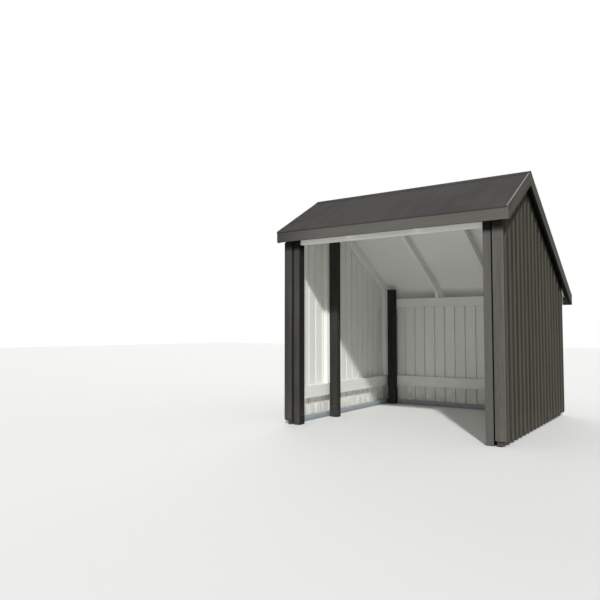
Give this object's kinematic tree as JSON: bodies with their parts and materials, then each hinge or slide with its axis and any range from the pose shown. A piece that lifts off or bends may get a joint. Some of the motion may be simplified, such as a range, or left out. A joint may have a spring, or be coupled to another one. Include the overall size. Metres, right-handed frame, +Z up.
{
  "type": "timber bike shelter",
  "caption": "Open-fronted timber bike shelter with a saltbox roof, board-on-board walls on rails, and posts under a ridge beam.",
  "frame": {"origin": "middle of the footprint of the roof, on the ground", "axes": "+X to the right seen from the open front, +Y to the back wall, +Z up"},
  "size_m": [2.37, 2.678, 2.458],
  "materials": {
    "post_wood": "dark stained",
    "cladding_wood": "brown grey stained",
    "trim_wood": "brown grey stained",
    "white_wood": "white painted",
    "sole_wood": "blue grey painted",
    "roof_sheet": "grey roofing membrane",
    "edge_metal": "matt"
  },
  "bodies": {
    "root": {"front_post_left": "post_wood", "front_post_right": "post_wood", "middle_post_left": "post_wood", "middle_post_right": "post_wood", "back_post_left": "post_wood", "back_post_right": "post_wood", "front_beam": "white_wood", "ridge_beam": "white_wood", "back_plate": "white_wood", "cladding_left": "cladding_wood", "cladding_right": "cladding_wood", "cladding_back": "cladding_wood", "roof_deck_front": "white_wood", "roof_deck_back": "white_wood", "roof_covering_front": "roof_sheet", "roof_covering_back": "roof_sheet", "ridge_cap": "roof_sheet", "roof_edge_strips": "edge_metal", "fascia_front": "trim_wood", "fascia_back": "trim_wood", "verge_board_front_left": "trim_wood", "verge_board_front_right": "trim_wood", "verge_board_back_left": "trim_wood", "verge_board_back_right": "trim_wood", "corner_boards_front": "trim_wood", "corner_boards_back": "trim_wood", "post_battens_left": "white_wood", "post_battens_right": "white_wood", "sole_plate_left": "sole_wood", "sole_plate_right": "sole_wood", "sole_plate_back": "sole_wood", "wall_studs_left": "white_wood", "wall_studs_right": "white_wood", "low_rail_left": "white_wood", "low_rail_right": "white_wood", "low_rail_back": "white_wood", "rafters_front": "white_wood", "rafters_back": "white_wood", "gable_rafters_front": "white_wood", "gable_rafters_back": "white_wood", "rafter_seats": "white_wood", "front_batten_left": "post_wood", "front_batten_right": "post_wood"}
  },
  "joints": []
}
